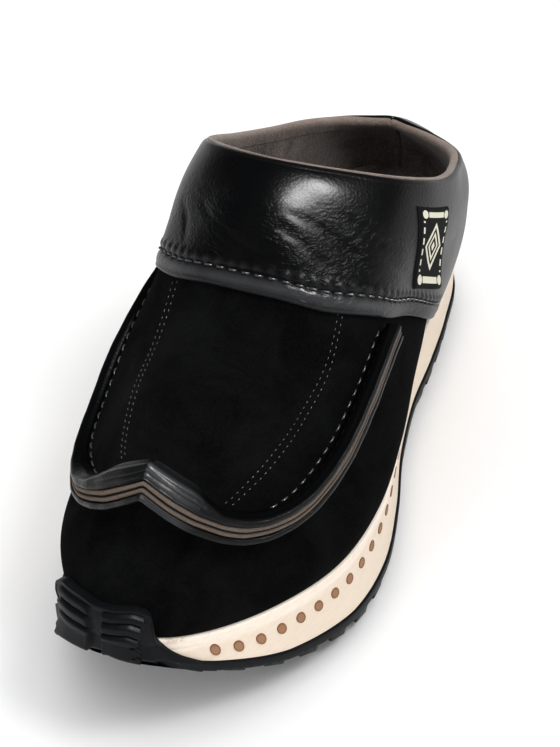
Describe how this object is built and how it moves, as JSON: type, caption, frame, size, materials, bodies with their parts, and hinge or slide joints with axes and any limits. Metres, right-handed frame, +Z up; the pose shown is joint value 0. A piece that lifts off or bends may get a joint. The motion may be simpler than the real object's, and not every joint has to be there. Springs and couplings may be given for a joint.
{
  "type": "leather mule",
  "caption": "Left backless leather mule with a suede vamp, turned-up stitched seam, padded collar and a wrapped wedge sole on lugged rubber.",
  "frame": {"origin": "middle of the shoe's bounding box in plan, on the floor that the tread stands on", "axes": "+X from heel to toe, +Y towards the outer side of this left shoe, +Z up"},
  "size_m": [0.3014, 0.113, 0.1485],
  "materials": {
    "black_suede": "matte nap",
    "black_leather": "satin, lightly wrinkled",
    "raw_leather_edge": "raw cut edge",
    "natural_leather": "smooth, undyed, slightly soiled",
    "black_rubber": "satin matte",
    "grey_suede": "matte nap",
    "woven_label": "woven"
  },
  "bodies": {
    "root": {"outsole": "black_rubber", "midsole": "natural_leather", "insole": "grey_suede", "upper": "black_suede", "collar": "black_leather", "apron_binding": "black_leather", "seam_leather": "raw_leather_edge", "vamp_binding": "black_leather", "label": "woven_label"}
  },
  "joints": []
}
